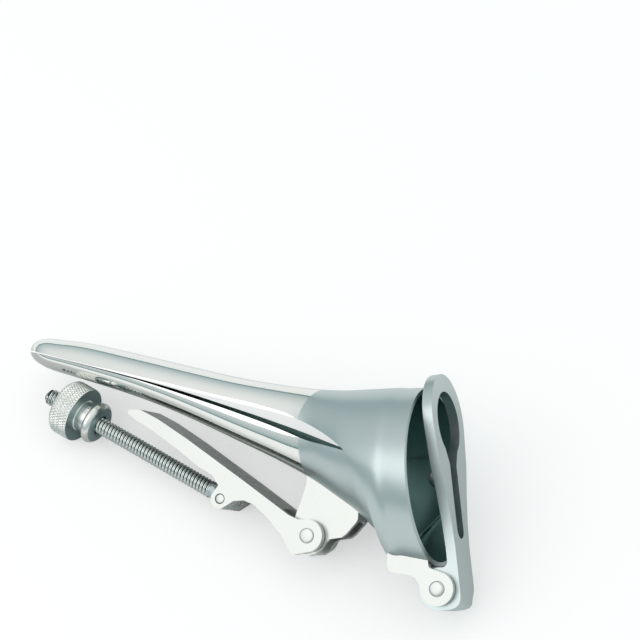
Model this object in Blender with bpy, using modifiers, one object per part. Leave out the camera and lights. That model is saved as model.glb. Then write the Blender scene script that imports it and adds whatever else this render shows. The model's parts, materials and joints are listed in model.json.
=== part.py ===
"""Two-valve vaginal speculum with a ring collar, folded flat as it is stored.

The instrument frame has its origin near the valve hinge: +X runs out of the
mouth, +Z is up with the handle side below, and Y is across the blades.
Lengths are in metres and are written as millimetres times MM.
"""

import bpy
import bmesh
from math import acos, atan2, cos, pi, radians, sin, sqrt, tan
from mathutils import Matrix, Vector

MM = 0.001

# Clearances and sheet
GAP = 0.3 * MM                  # between pieces that touch or turn on each other
SHEET = 1.2 * MM                # valve and collar sheet

# Valve hinge: two side rivets share this axis
HINGE_X = 0.0
HINGE_Z = -1.4 * MM
EAR_RADIUS = 5.7 * MM           # round ears at the rear of the lower valve
SIDE_RIVET_RADIUS = 1.6 * MM
SIDE_RIVET_HEAD = 2.6 * MM
SIDE_RIVET_HEAD_THICK = 0.5 * MM
SIDE_RIVET_SEAT = 0.9 * MM      # head to the ear, which curves away from it

# Ring collar
RIM_X = 6.5 * MM
RIM_Z = -2.2 * MM
RIM_RADIUS = 24.6 * MM
RIM_LEAN = radians(5.8)         # the rim's foot stands further out than its top
COLLAR_BACK_X = -4.2 * MM       # free rear edge of the ring, under the valves
COLLAR_HALF = 23.75 * MM        # half width of the ring at the hinge
EAR_HALF = COLLAR_HALF - SHEET - GAP - 0.1 * MM   # half width across the ears inside it

# Blades
TIP_ROUND = 11.5 * MM           # length of the rounded blade end

# Bracket under the lower valve, and the leg's rivet in it
LEG_PIVOT_X = -28.3 * MM
LEG_PIVOT_Z = -20.1 * MM
BRACKET_HALF = 4.0 * MM
BRACKET_SHEET = 1.5 * MM
BRACKET_BEND = 1.6 * MM
BRACKET_LOBE = 5.2 * MM
LEG_RIVET_RADIUS = 1.7 * MM
LEG_RIVET_HEAD = 2.3 * MM
LEG_RIVET_DOME = 0.7 * MM

# Leg
LEG_HALF = 6.3 * MM
LEG_HEAD_RADIUS = 4.6 * MM
LEG_TO_ROD = 28.8 * MM          # leg rivet to rod pin
LEG_FORK_DEPTH = 10.5 * MM
ROD_SLOT_HALF = 1.9 * MM
ROD_EAR_RADIUS = 2.9 * MM
ROD_PIN_RADIUS = 1.2 * MM

# Rod and nut
ROD_RADIUS = 2.5 * MM
ROD_LENGTH = 67.4 * MM          # rod pin to the rod's end
ROD_NECK = 6.2 * MM             # flat eye, up to where the round shank begins
ROD_EYE_HALF = 1.6 * MM
ROD_END_RADIUS = 2.3 * MM
ROD_END_THICK = 1.7 * MM
NUT_START = 47.2 * MM           # rod pin to the nut's bead
NUT_BEAD_RADIUS = 6.3 * MM
NUT_BEAD_THICK = 3.2 * MM
NUT_NECK_RADIUS = 4.6 * MM
NUT_NECK_LENGTH = 3.6 * MM
NUT_HEAD_RADIUS = 8.5 * MM
NUT_HEAD_LENGTH = 6.6 * MM
NUT_CHAMFER = 0.8 * MM

# Lever
LEVER_PIVOT_X = 11.4 * MM
LEVER_PIVOT_Z = -32.9 * MM
KNUCKLE_RADIUS = 5.9 * MM
KNUCKLE_HALF = 6.1 * MM
LEAF_THICK = 2.8 * MM
LEVER_LENGTH = 59.0 * MM        # lever pin to the leaf's end
LEVER_HEAD_RADIUS = 13.0 * MM
KEYHOLE_RADIUS = 8.9 * MM
SLOT_END = 13.2 * MM            # lever pin to the closed end of the slot
SLOT_HALF = ROD_RADIUS + GAP
LEVER_PIN_RADIUS = 1.8 * MM
LEVER_PIN_HEAD = 2.2 * MM
LEVER_PIN_DOME = 0.8 * MM

# Lug bracket under the collar
LUG_SHEET = 1.8 * MM
LUG_HALF = KNUCKLE_HALF + GAP + LUG_SHEET
LUG_BEND = 2.4 * MM
LUG_EAR_RADIUS = 4.7 * MM
LUG_BACK_X = -3.4 * MM

# Folded pose: directions in the X-Z plane, from +X towards +Z
LEG_ANGLE = radians(161.1)
ROD_ANGLE = radians(154.6)
LEVER_ANGLE = radians(99.8)

# How the folded instrument lies on its side
REST_ROLL = radians(28.35)
REST_PITCH = radians(-11.74)

RING_SIDES = 44
ROUND_STEPS = 28

# Stations of the two valves along X, each (x, crown, side, foot, half width, fullness):
# crown and foot are the highest and lowest outer points, side is the height of the
# widest point, and a fullness of 2 is an ellipse.
UPPER_STATIONS = [
    (-14.0, 21.0, 3.0, -19.5, 20.2, 2.0),
    (-21.0, 20.8, 7.2, -10.0, 17.0, 2.05),
    (-29.0, 21.2, 10.6, -3.0, 13.9, 2.15),
    (-40.0, 22.3, 13.2, 4.0, 12.6, 2.25),
    (-56.0, 24.6, 16.5, 9.0, 12.1, 2.3),
    (-85.0, 30.3, 22.5, 16.0, 11.3, 2.3),
    (-102.0, 33.4, 26.1, 20.0, 10.5, 2.3),
    (-111.7, 34.5, 28.1, 23.0, 9.9, 2.3),
]
LOWER_STATIONS = [
    (7.0, 20.0, -1.4, -24.0, 22.7, 2.0),
    (0.0, 19.5, -1.4, -23.0, EAR_HALF / MM, 2.0),
    (-4.2, 19.3, -0.6, -21.5, 21.3, 2.0),
    (-9.0, 19.0, 1.4, -17.6, 20.0, 2.0),
    (-14.0, 18.0, 3.4, -13.4, 18.3, 2.0),
    (-21.0, 17.0, 5.6, -9.0, 16.2, 2.05),
    (-29.0, 17.0, 7.4, -4.3, 13.8, 2.15),
    (-40.0, 19.0, 10.9, 0.8, 12.6, 2.25),
    (-54.0, 22.0, 15.0, 6.5, 12.1, 2.3),
    (-70.0, 25.0, 19.6, 12.8, 11.75, 2.3),
    (-85.8, 28.0, 23.9, 18.0, 11.3, 2.3),
    (-102.0, 31.0, 27.5, 22.3, 10.5, 2.3),
    (-111.7, 33.0, 29.4, 24.7, 9.9, 2.3),
]

# Side view of the cuts: free edge of the upper valve and collar, and of the lower valve
UPPER_EDGE = [
    (-4.2, -34.0), (-4.2, -24.0), (-4.9, -15.0), (-6.3, -7.5), (-8.0, -2.4), (-10.8, 1.2),
    (-15.0, 4.6), (-21.0, 8.0), (-29.6, 11.6), (-38.0, 13.8), (-48.6, 15.9),
    (-59.3, 18.2), (-85.0, 23.5), (-108.0, 28.3), (-126.0, 32.0),
]
LOWER_EDGE = [
    (-14.0, 3.2), (-20.0, 4.5), (-27.6, 6.2), (-38.2, 9.8), (-48.9, 13.1), (-59.7, 16.2),
    (-80.0, 21.7), (-100.0, 26.25), (-126.0, 31.6),
]
REAR_EDGE = [(2.6, -10.6), (-1.4, -17.4), (-2.6, -24.0), (-2.6, -34.0)]


def clear_scene():
    for item in list(bpy.data.objects):
        bpy.data.objects.remove(item, do_unlink=True)
    for group in list(bpy.data.collections):
        bpy.data.collections.remove(group)


def new_collection(name):
    group = bpy.data.collections.new(name)
    bpy.context.scene.collection.children.link(group)
    return group


def steel(name, tint, roughness):
    material = bpy.data.materials.new(name)
    material.use_nodes = True
    shader = material.node_tree.nodes["Principled BSDF"]
    shader.inputs["Base Color"].default_value = (*tint, 1.0)
    shader.inputs["Roughness"].default_value = roughness
    shader.inputs["Metallic"].default_value = 1.0
    material.diffuse_color = (*tint, 1.0)
    return material


def mesh_object(name, bm, group, material=None):
    bmesh.ops.recalc_face_normals(bm, faces=bm.faces)
    mesh = bpy.data.meshes.new(name)
    bm.to_mesh(mesh)
    bm.free()
    item = bpy.data.objects.new(name, mesh)
    group.objects.link(item)
    if material:
        mesh.materials.append(material)
    return item


def as_cutter(item):
    item.hide_render = True
    item.display_type = 'WIRE'
    return item


def boolean(item, other, operation):
    modifier = item.modifiers.new(operation.title(), 'BOOLEAN')
    modifier.operation = operation
    modifier.solver = 'EXACT'
    modifier.object = other
    other.parent = item


def smooth_line(points, steps):
    """Curve through the points, as (x, z) pairs, by Catmull-Rom."""
    ends = [points[0], *points, points[-1]]
    line = []
    for a, b, c, d in zip(ends, ends[1:], ends[2:], ends[3:]):
        for step in range(steps):
            t = step / steps
            line.append(tuple(
                0.5 * (2 * b[k] + (c[k] - a[k]) * t + (2 * a[k] - 5 * b[k] + 4 * c[k] - d[k]) * t * t
                       + (3 * b[k] - a[k] - 3 * c[k] + d[k]) * t ** 3)
                for k in range(len(b))))
    line.append(points[-1])
    return line


def rounded(corners, steps=5):
    """Closed outline whose corners (x, z, radius) are turned into arcs."""
    outline = []
    count = len(corners)
    for index, (x, z, radius) in enumerate(corners):
        here = Vector((x, z))
        if radius <= 0:
            outline.append(tuple(here))
            continue
        back = (Vector(corners[index - 1][:2]) - here).normalized()
        ahead = (Vector(corners[(index + 1) % count][:2]) - here).normalized()
        half = acos(max(-1.0, min(1.0, back.dot(ahead)))) / 2
        reach = radius / tan(half)
        centre = here + (back + ahead).normalized() * (radius / sin(half))
        start = here + back * reach - centre
        finish = here + ahead * reach - centre
        first = atan2(start.y, start.x)
        turn = atan2(finish.y, finish.x) - first
        turn = (turn + pi) % (2 * pi) - pi
        for step in range(steps + 1):
            angle = first + turn * step / steps
            outline.append((centre.x + radius * cos(angle), centre.y + radius * sin(angle)))
    return outline


def arc(centre, radius, start, finish, steps):
    """Points on a round stretch, angles in degrees from +X towards +Z."""
    points = []
    for step in range(steps + 1):
        angle = radians(start + (finish - start) * step / steps)
        points.append((centre[0] + radius * cos(angle), centre[1] + radius * sin(angle)))
    return points


def plate(name, outlines, half_thickness, group, material=None):
    """Flat piece in the X-Z plane, centred on Y, from an outline and its holes."""
    curve = bpy.data.curves.new(name, 'CURVE')
    curve.dimensions = '2D'
    curve.fill_mode = 'BOTH'
    curve.extrude = half_thickness
    for outline in outlines:
        spline = curve.splines.new('POLY')
        spline.points.add(len(outline) - 1)
        for point, (x, z) in zip(spline.points, outline):
            point.co = (x, z, 0.0, 1.0)
        spline.use_cyclic_u = True
    source = bpy.data.objects.new(name + "_curve", curve)
    group.objects.link(source)
    bpy.context.view_layer.update()
    depsgraph = bpy.context.evaluated_depsgraph_get()
    mesh = bpy.data.meshes.new_from_object(source.evaluated_get(depsgraph))
    bpy.data.objects.remove(source)
    bpy.data.curves.remove(curve)
    bm = bmesh.new()
    bm.from_mesh(mesh)
    bpy.data.meshes.remove(mesh)
    bmesh.ops.remove_doubles(bm, verts=bm.verts, dist=0.001 * MM)
    bmesh.ops.transform(bm, matrix=Matrix.Rotation(radians(90), 4, 'X'), verts=bm.verts)
    return mesh_object(name, bm, group, material)


def round_bar(name, radius, half_length, group, material=None, steps=ROUND_STEPS):
    """Cylinder along Y about the origin."""
    bm = bmesh.new()
    bmesh.ops.create_cone(bm, cap_ends=True, segments=steps, radius1=radius, radius2=radius,
                          depth=2 * half_length, matrix=Matrix.Rotation(radians(90), 4, 'X'))
    return mesh_object(name, bm, group, material)


def turned(name, profile, group, material=None, steps=ROUND_STEPS):
    """Turned piece about local Z: the profile's (radius, z) points run top to bottom."""
    mesh = bpy.data.meshes.new(name)
    closed = profile[0][0] > 0
    count = len(profile)
    links = [(k, k + 1) for k in range(count - 1)]
    if closed:
        links.append((count - 1, 0))
    mesh.from_pydata([(radius, 0.0, z) for radius, z in profile], links, [])
    item = bpy.data.objects.new(name, mesh)
    group.objects.link(item)
    screw = item.modifiers.new("Turn", 'SCREW')
    screw.steps = steps
    screw.render_steps = steps
    screw.use_merge_vertices = True
    screw.merge_threshold = 0.01 * MM
    screw.use_smooth_shade = True
    if material:
        mesh.materials.append(material)
    return item


def rivet_profile(shank, half_length, head, dome, steps=4):
    """Half section of a rivet with a low domed head at each end."""
    def cap(end):
        return [(head * sin(radians(90 * step / steps)),
                 end * (half_length + dome * cos(radians(90 * step / steps))))
                for step in range(steps + 1)]
    top = cap(1)
    foot = cap(-1)[::-1]
    if head > shank:
        return top + [(shank, half_length), (shank, -half_length)] + foot
    return top + foot


def attach(item, parent, x=0.0, z=0.0, angle=0.0):
    """Hang a piece on its parent at (x, z), turned from +X towards +Z."""
    item.parent = parent
    item.location = (x, 0.0, z)
    item.rotation_euler = (0.0, -angle, 0.0)


def section(x, crown, side, foot, half_width, fullness, lean=0.0):
    """Ring of points across a valve; the crown is first."""
    ring = []
    power = 2.0 / fullness
    for k in range(RING_SIDES):
        angle = 2 * pi * k / RING_SIDES
        across = half_width * (abs(sin(angle)) ** power) * (1 if sin(angle) >= 0 else -1)
        rise = abs(cos(angle)) ** power
        z = side + (crown - side) * rise if cos(angle) >= 0 else side - (side - foot) * rise
        ring.append(Vector((x - (z - side) * tan(lean), across, z)))
    return ring


def blade_end(station):
    """Rounded end in front of the last station."""
    x0, crown, side, foot, half_width, fullness = station
    slope = 0.205                # the blades rise towards the tip
    rings = []
    for degrees in (25, 45, 60, 72, 81, 87):
        forward = TIP_ROUND * sin(radians(degrees))
        size = cos(radians(degrees))
        lift = slope * forward
        rings.append((x0 - forward, side + lift + (crown - side) * size ** 0.8, side + lift,
                      side + lift - (side - foot) * size ** 0.8, half_width * size, fullness))
    return rings


def valve_shell(name, stations, group, material):
    """Sheet shell through the stations, open at the rear and closed at the tip."""
    rings = [section(*station) for station in stations]
    bm = bmesh.new()
    loops = [[bm.verts.new(point) for point in ring] for ring in rings]
    for one, two in zip(loops, loops[1:]):
        for k in range(RING_SIDES):
            m = (k + 1) % RING_SIDES
            bm.faces.new((one[k], two[k], two[m], one[m]))
    bm.faces.new(loops[-1])
    item = mesh_object(name, bm, group, material)
    shell = item.modifiers.new("Sheet", 'SOLIDIFY')
    shell.thickness = SHEET
    shell.offset = -1.0
    shell.use_even_offset = True
    return item


def scaled(stations):
    return [(x * MM, crown * MM, side * MM, foot * MM, half * MM, fullness)
            for x, crown, side, foot, half, fullness in stations]


def make_upper_valve(group, cutters, material):
    collar = [
        (RIM_X, RIM_Z + RIM_RADIUS, RIM_Z, RIM_Z - RIM_RADIUS, RIM_RADIUS, 2.0, RIM_LEAN),
        (HINGE_X, 21.8 * MM, HINGE_Z, -25.0 * MM, COLLAR_HALF, 2.0, 0.6 * RIM_LEAN),
        (COLLAR_BACK_X, 21.5 * MM, -0.9 * MM, -24.0 * MM, 23.2 * MM, 2.0, 0.3 * RIM_LEAN),
    ]
    blade = [(*station, 0.0) for station in scaled(UPPER_STATIONS)]
    tip = [(*station, 0.0) for station in blade_end(scaled(UPPER_STATIONS)[-1])]
    shell = valve_shell("upper_valve", smooth_line(collar + blade, 2) + tip, group, material)
    edge = [(x * MM, z * MM) for x, z in smooth_line(UPPER_EDGE, 4)]
    far = (-140.0 * MM, edge[-1][1])
    low = (-140.0 * MM, edge[0][1])
    cutter = as_cutter(plate("cut_upper_edge", [edge + [far, low]], 40.0 * MM, cutters))
    boolean(shell, cutter, 'DIFFERENCE')
    hole = as_cutter(round_bar("cut_hinge_holes", SIDE_RIVET_RADIUS + GAP, 40.0 * MM, cutters))
    hole.location = (HINGE_X, 0.0, HINGE_Z)
    boolean(shell, hole, 'DIFFERENCE')
    return shell


def make_lower_valve(group, cutters, material):
    stations = smooth_line(scaled(LOWER_STATIONS), 2)
    tip = blade_end(scaled(LOWER_STATIONS)[-1])
    shell = valve_shell("lower_valve", stations + tip, group, material)
    ear = arc((HINGE_X / MM, HINGE_Z / MM), EAR_RADIUS / MM, 100, -30, 10)
    edge = REAR_EDGE[::-1] + ear[::-1] + smooth_line(LOWER_EDGE, 4)
    edge = [(x * MM, z * MM) for x, z in edge]
    far = (-140.0 * MM, edge[-1][1])
    keep = [(-140.0 * MM, edge[0][1]), far] + edge[::-1]
    keeper = as_cutter(plate("keep_lower_valve", [keep], 40.0 * MM, cutters))
    boolean(shell, keeper, 'INTERSECT')
    hole = as_cutter(round_bar("cut_ear_holes", SIDE_RIVET_RADIUS + GAP, 40.0 * MM, cutters))
    hole.location = (HINGE_X, 0.0, HINGE_Z)
    boolean(shell, hole, 'DIFFERENCE')
    return shell


def channel(name, outline, half_width, sheet, bend, top, slope, group, cutters, material):
    """Folded U of sheet, open below: a web at the top and a cheek on each side.

    The web's outer face passes through the point top and falls by the angle slope
    towards +X. The cheeks take the side outline.
    """
    length = 60.0 * MM
    depth = 40.0 * MM

    def trough(label, half, lift, radius, target):
        bm = bmesh.new()
        bmesh.ops.create_cube(bm, size=1.0)
        bmesh.ops.scale(bm, vec=(length, 2 * half, depth), verts=bm.verts)
        bmesh.ops.translate(bm, vec=(0, 0, -depth / 2 - lift), verts=bm.verts)
        folds = [edge for edge in bm.edges
                 if all(vert.co.z > -lift - 0.1 * MM for vert in edge.verts)
                 and abs(edge.verts[0].co.x - edge.verts[1].co.x) > length / 2]
        bmesh.ops.bevel(bm, geom=folds, offset=radius, segments=4, profile=0.5, affect='EDGES')
        turn = Matrix.Translation((top[0], 0, top[1])) @ Matrix.Rotation(slope, 4, 'Y')
        bmesh.ops.transform(bm, matrix=turn, verts=bm.verts)
        return mesh_object(label, bm, target)

    body = plate(name, [outline], half_width + 1.0 * MM, group, material)
    outer = as_cutter(trough("keep_" + name, half_width, 0.0, bend + sheet, cutters))
    inner = as_cutter(trough("cut_" + name, half_width - sheet, sheet, bend, cutters))
    boolean(body, outer, 'INTERSECT')
    boolean(body, inner, 'DIFFERENCE')
    return body


def cut_round(item, name, x, z, radius, cutters, half_length=30.0 * MM, steps=ROUND_STEPS):
    """Round hole along Y through a piece."""
    cutter = as_cutter(round_bar(name, radius, half_length, cutters, steps=steps))
    cutter.location = (x, 0.0, z)
    boolean(item, cutter, 'DIFFERENCE')


def make_leg_bracket(group, cutters, material):
    """Folded bracket under the lower valve; the leg is riveted in its lobe."""
    x, z = LEG_PIVOT_X / MM, LEG_PIVOT_Z / MM
    lobe = BRACKET_LOBE / MM
    outline = rounded([
        (-29.6, 2.0, 0), (-30.4, -6.0, 0), (-32.6, -13.6, 6.0), (x - lobe, z - 0.5, 2.0),
        (x - lobe + 0.6, z - lobe, 4.4), (x + 2.6, z - lobe, 2.6), (-22.6, -20.6, 2.5),
        (-18.2, -19.6, 2.4), (-14.6, -15.6, 1.2), (-14.2, 2.0, 0),
    ])
    outline = [(a * MM, b * MM) for a, b in outline]
    body = channel("leg_bracket", outline, BRACKET_HALF, BRACKET_SHEET, BRACKET_BEND,
                   (-29.0 * MM, -5.0 * MM), radians(31.2), group, cutters, material)
    cut_round(body, "cut_leg_bracket_hole", LEG_PIVOT_X, LEG_PIVOT_Z,
              LEG_RIVET_RADIUS + GAP, cutters)
    return body


def make_lug_bracket(group, cutters, material):
    """Folded bracket under the collar whose two ears carry the lever's pin."""
    x, z = LEVER_PIVOT_X / MM, LEVER_PIVOT_Z / MM
    ear = LUG_EAR_RADIUS / MM
    left = LUG_BACK_X / MM
    lower = arc((x, z), ear, 205, 400, 12)
    outline = [(left, -20.0), (left, -26.8)] + arc((left + 2.3, -26.9), 2.3, 190, 260, 4)
    outline += [(3.2, -29.5), (5.0, -30.3), (6.3, -32.2)] + lower + [(13.4, -27.6), (9.2, -26.6)]
    outline += [(9.2, -20.0)]
    outline = [(a * MM, b * MM) for a, b in outline]
    body = channel("lug_bracket", outline, LUG_HALF, LUG_SHEET, LUG_BEND,
                   (LUG_BACK_X, -24.55 * MM), radians(12.2), group, cutters, material)
    knuckle = as_cutter(round_bar("cut_knuckle_room", KNUCKLE_RADIUS + GAP,
                                  KNUCKLE_HALF + GAP, cutters))
    knuckle.location = (LEVER_PIVOT_X, 0.0, LEVER_PIVOT_Z)
    boolean(body, knuckle, 'DIFFERENCE')
    cut_round(body, "cut_lug_holes", LEVER_PIVOT_X, LEVER_PIVOT_Z, LEVER_PIN_RADIUS + GAP, cutters)
    return body


def make_leg(group, cutters, material):
    """Forged leg: forked head on the bracket, two ears for the rod, tongue end.

    Its own X runs from the leg rivet to the rod pin, its Z to the rod's side.
    """
    rod = LEG_TO_ROD / MM
    head = LEG_HEAD_RADIUS / MM
    outline = arc((0, 0), head, 305, 130, 14)
    outline += [(1.6, 6.3), (2.6, 6.5), (7.2, 2.7), (13.6, -0.5), (18.5, -2.2), (21.8, -2.2), (24.6, -0.9)]
    outline += arc((rod, 0), ROD_EAR_RADIUS / MM, 118, 0, 8)
    outline += [(rod + 1.9, -3.4), (33.6, -5.3), (38.6, -6.0), (46.0, -8.1), (56.0, -10.4)]
    outline += [(62.2, -11.4), (65.3, -12.2), (65.9, -12.9), (65.3, -13.7), (62.3, -14.7)]
    outline += [(55.7, -14.1), (45.1, -12.1), (34.5, -9.7), (23.4, -7.2), (15.0, -5.2), (7.5, -3.4)]
    outline += [(4.6, -3.2)]
    outline = [(a * MM, b * MM) for a, b in outline[::-1]]
    leg = plate("leg", [outline], LEG_HALF, group, material)
    fork = as_cutter(plate("cut_fork", [rounded([
        (-9.0 * MM, -14.0 * MM, 0), (LEG_FORK_DEPTH, -14.0 * MM, 0),
        (LEG_FORK_DEPTH, 14.0 * MM, 0), (-9.0 * MM, 14.0 * MM, 0)])],
        BRACKET_HALF + GAP, cutters))
    slot = as_cutter(plate("cut_rod_slot", [[
        (20.0 * MM, 8.0 * MM), (20.6 * MM, -3.4 * MM), (24.2 * MM, -4.4 * MM),
        (34.0 * MM, -6.2 * MM), (39.0 * MM, -5.8 * MM), (41.0 * MM, 8.0 * MM)]],
        ROD_SLOT_HALF, cutters))
    boolean(leg, fork, 'DIFFERENCE')
    boolean(leg, slot, 'DIFFERENCE')
    cut_round(leg, "cut_leg_rivet_hole", 0, 0, LEG_RIVET_RADIUS + GAP, cutters)
    cut_round(leg, "cut_rod_pin_hole", LEG_TO_ROD, 0, ROD_PIN_RADIUS + GAP, cutters)
    return leg


def make_rod(group, cutters, material):
    """Rod with a flat eye; its own X runs from the eye's pin to the end."""
    eye = ROD_EYE_HALF
    shank_start = ROD_NECK
    plain = ROD_LENGTH - ROD_END_THICK
    profile = [
        (0.0, ROD_LENGTH), (ROD_END_RADIUS - 0.4 * MM, ROD_LENGTH),
        (ROD_END_RADIUS, ROD_LENGTH - 0.4 * MM), (ROD_END_RADIUS, plain),
        (ROD_RADIUS, plain - 0.3 * MM), (ROD_RADIUS, shank_start),
        (eye, shank_start - 1.0 * MM), (0.0, shank_start - 1.0 * MM),
    ]
    shank = as_cutter(turned("join_rod_shank", profile, cutters, steps=20))
    shank.rotation_euler = (0.0, radians(90), 0.0)
    outline = arc((0, 0), ROD_EAR_RADIUS, 60, 300, 12)
    reach = shank_start + 0.6 * MM
    outline += [(reach, -ROD_RADIUS * 0.72), (reach, ROD_RADIUS * 0.72)]
    rod = plate("screw_rod", [outline], ROD_EYE_HALF, group, material)
    boolean(rod, shank, 'UNION')
    cut_round(rod, "cut_rod_eye", 0, 0, ROD_PIN_RADIUS + GAP, cutters)
    return rod


def make_nut(group, material):
    """One turned piece: bead, neck and knurled head, bored for the rod."""
    bore = ROD_RADIUS + GAP
    half = NUT_BEAD_THICK / 2
    profile = [(bore, 0.0), (bore + 1.4 * MM, 0.0)]
    for step in range(9):
        angle = radians(-90 + 180 * step / 8)
        profile.append((NUT_BEAD_RADIUS - half + half * cos(angle), half + half * sin(angle)))
    head_start = NUT_BEAD_THICK + NUT_NECK_LENGTH
    head_end = head_start + NUT_HEAD_LENGTH
    profile += [
        (NUT_NECK_RADIUS, NUT_BEAD_THICK), (NUT_NECK_RADIUS, head_start),
        (NUT_HEAD_RADIUS - NUT_CHAMFER, head_start),
        (NUT_HEAD_RADIUS, head_start + NUT_CHAMFER),
        (NUT_HEAD_RADIUS, head_end - NUT_CHAMFER),
        (NUT_HEAD_RADIUS - NUT_CHAMFER, head_end), (bore, head_end),
    ]
    return turned("thumb_nut", profile[::-1], group, material, steps=ROUND_STEPS)


def make_lever(group, cutters, material):
    """Lever with a keyhole: its own X runs from the pin to the tip.

    The leaf lies to one side of the pin, on the knuckle that turns between the lugs.
    """
    head_x = LEVER_LENGTH - LEVER_HEAD_RADIUS
    head = arc((head_x, 0), LEVER_HEAD_RADIUS, -98, 98, 22)
    waist = [(34.0 * MM, 11.4 * MM), (26.0 * MM, 8.9 * MM), (18.0 * MM, 7.0 * MM),
             (11.0 * MM, KNUCKLE_HALF), (-KNUCKLE_RADIUS - MM, KNUCKLE_HALF)]
    outline = head + waist + [(x, -z) for x, z in waist[::-1]]
    slot = arc((SLOT_END + SLOT_HALF, 0), SLOT_HALF, 90, 270, 8)
    hole = arc((head_x - 0.8 * MM, 0), KEYHOLE_RADIUS, -145, 145, 24)
    throat = [(hole[-1][0] - 4.2 * MM, SLOT_HALF)]
    keyhole = slot + [(x, -z) for x, z in throat] + hole + throat
    front = as_cutter(plate("keep_lever_outline", [outline, keyhole], 12.0 * MM, cutters))
    front.data.transform(Matrix.Rotation(radians(-90), 4, 'X'))

    inner_face = -(KNUCKLE_RADIUS - LEAF_THICK)
    fillet = 1.5 * MM
    meet = sqrt((KNUCKLE_RADIUS + fillet) ** 2 - (fillet + inner_face) ** 2)
    turn = atan2(inner_face + fillet, meet)
    side = arc((0, 0), KNUCKLE_RADIUS, -90, -360 + turn * 180 / pi, 26)
    side += arc((meet, inner_face + fillet), fillet, 180 + turn * 180 / pi, 270, 4)
    side += [(LEVER_LENGTH + MM, inner_face), (LEVER_LENGTH + MM, -KNUCKLE_RADIUS)]
    lever = plate("lever", [side], LEVER_HEAD_RADIUS + MM, group, material)
    boolean(lever, front, 'INTERSECT')
    cut_round(lever, "cut_lever_pin", 0, 0, LEVER_PIN_RADIUS + GAP, cutters)
    return lever


def make_rivet(name, shank, half_length, head, dome, group, material, steps=20):
    item = turned(name, rivet_profile(shank, half_length, head, dome), group, material, steps)
    item.rotation_euler = (radians(90), 0.0, 0.0)
    return item


def make_side_rivet(name, side, group, material):
    """Short rivet through the collar and one ear, flush outside."""
    outer = COLLAR_HALF - 0.05 * MM
    inner = EAR_HALF - SHEET - SIDE_RIVET_SEAT
    profile = [
        (0.0, outer), (SIDE_RIVET_RADIUS, outer), (SIDE_RIVET_RADIUS, inner),
        (SIDE_RIVET_HEAD, inner), (SIDE_RIVET_HEAD, inner - SIDE_RIVET_HEAD_THICK),
        (0.0, inner - SIDE_RIVET_HEAD_THICK),
    ]
    item = turned(name, profile, group, material, 20)
    item.rotation_euler = (radians(-90 * side), 0.0, 0.0)
    return item


def new_axis(name, parent, x, z, group):
    """Empty on a joint's axis, for the pieces that turn together about it."""
    empty = bpy.data.objects.new(name, None)
    empty.empty_display_size = 10 * MM
    group.objects.link(empty)
    empty.parent = parent
    empty.location = (x, 0.0, z)
    return empty


def lay_on_floor(root, group):
    """Lay the folded instrument on its side, lowest point at 0, centred over the origin."""
    turn = (Matrix.Rotation(REST_PITCH, 4, 'Y') @ Matrix.Rotation(REST_ROLL, 4, 'X')
            @ Matrix.Rotation(radians(-90), 4, 'X'))
    root.rotation_euler = turn.to_euler()
    bpy.context.view_layer.update()
    depsgraph = bpy.context.evaluated_depsgraph_get()
    corners = []
    for item in group.objects:
        if item.type == 'MESH':
            solid = item.evaluated_get(depsgraph)
            corners += [solid.matrix_world @ vert.co for vert in solid.data.vertices]
    low = [min(point[axis] for point in corners) for axis in range(3)]
    high = [max(point[axis] for point in corners) for axis in range(3)]
    root.location = (-(low[0] + high[0]) / 2, -(low[1] + high[1]) / 2, -low[2])
    bpy.context.view_layer.update()


def main():
    clear_scene()
    parts = new_collection("vaginal_speculum")
    cutters = new_collection("cutters")
    satin = steel("satin_steel", (0.52, 0.60, 0.62), 0.38)
    bright = steel("bright_steel", (0.80, 0.83, 0.84), 0.12)
    root = bpy.data.objects.new("instrument", None)
    parts.objects.link(root)

    make_upper_valve(parts, cutters, satin).parent = root
    make_lug_bracket(parts, cutters, satin).parent = root
    for name, side in (("side_rivet_left", -1), ("side_rivet_right", 1)):
        rivet = make_side_rivet(name, side, parts, satin)
        rivet.parent = root
        rivet.location = (HINGE_X, 0.0, HINGE_Z)

    hinge = new_axis("valve_hinge_axis", root, HINGE_X, HINGE_Z, parts)
    for item in (make_lower_valve(parts, cutters, satin), make_leg_bracket(parts, cutters, satin)):
        item.parent = hinge
        item.location = (-HINGE_X, 0.0, -HINGE_Z)
    leg_rivet = make_rivet("leg_rivet", LEG_RIVET_RADIUS, LEG_HALF + GAP, LEG_RIVET_HEAD,
                           LEG_RIVET_DOME, parts, bright)
    leg_rivet.parent = hinge
    leg_rivet.location = (LEG_PIVOT_X - HINGE_X, 0.0, LEG_PIVOT_Z - HINGE_Z)

    leg = make_leg(parts, cutters, satin)
    attach(leg, hinge, LEG_PIVOT_X - HINGE_X, LEG_PIVOT_Z - HINGE_Z, LEG_ANGLE)
    rod_pin = make_rivet("rod_pin", ROD_PIN_RADIUS, LEG_HALF - 0.1 * MM, ROD_PIN_RADIUS,
                         0.1 * MM, parts, bright)
    rod_pin.parent = leg
    rod_pin.location = (LEG_TO_ROD, 0.0, 0.0)
    rod = make_rod(parts, cutters, satin)
    attach(rod, leg, LEG_TO_ROD, 0.0, ROD_ANGLE - LEG_ANGLE)
    nut = make_nut(parts, satin)
    nut.parent = rod
    nut.location = (NUT_START, 0.0, 0.0)
    nut.rotation_euler = (0.0, radians(90), 0.0)

    lever = make_lever(parts, cutters, satin)
    attach(lever, root, LEVER_PIVOT_X, LEVER_PIVOT_Z, LEVER_ANGLE)
    lever_pin = make_rivet("lever_pin", LEVER_PIN_RADIUS, LUG_HALF + GAP, LEVER_PIN_HEAD,
                           LEVER_PIN_DOME, parts, bright)
    lever_pin.parent = root
    lever_pin.location = (LEVER_PIVOT_X, 0.0, LEVER_PIVOT_Z)
    lay_on_floor(root, parts)


main()
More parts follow.
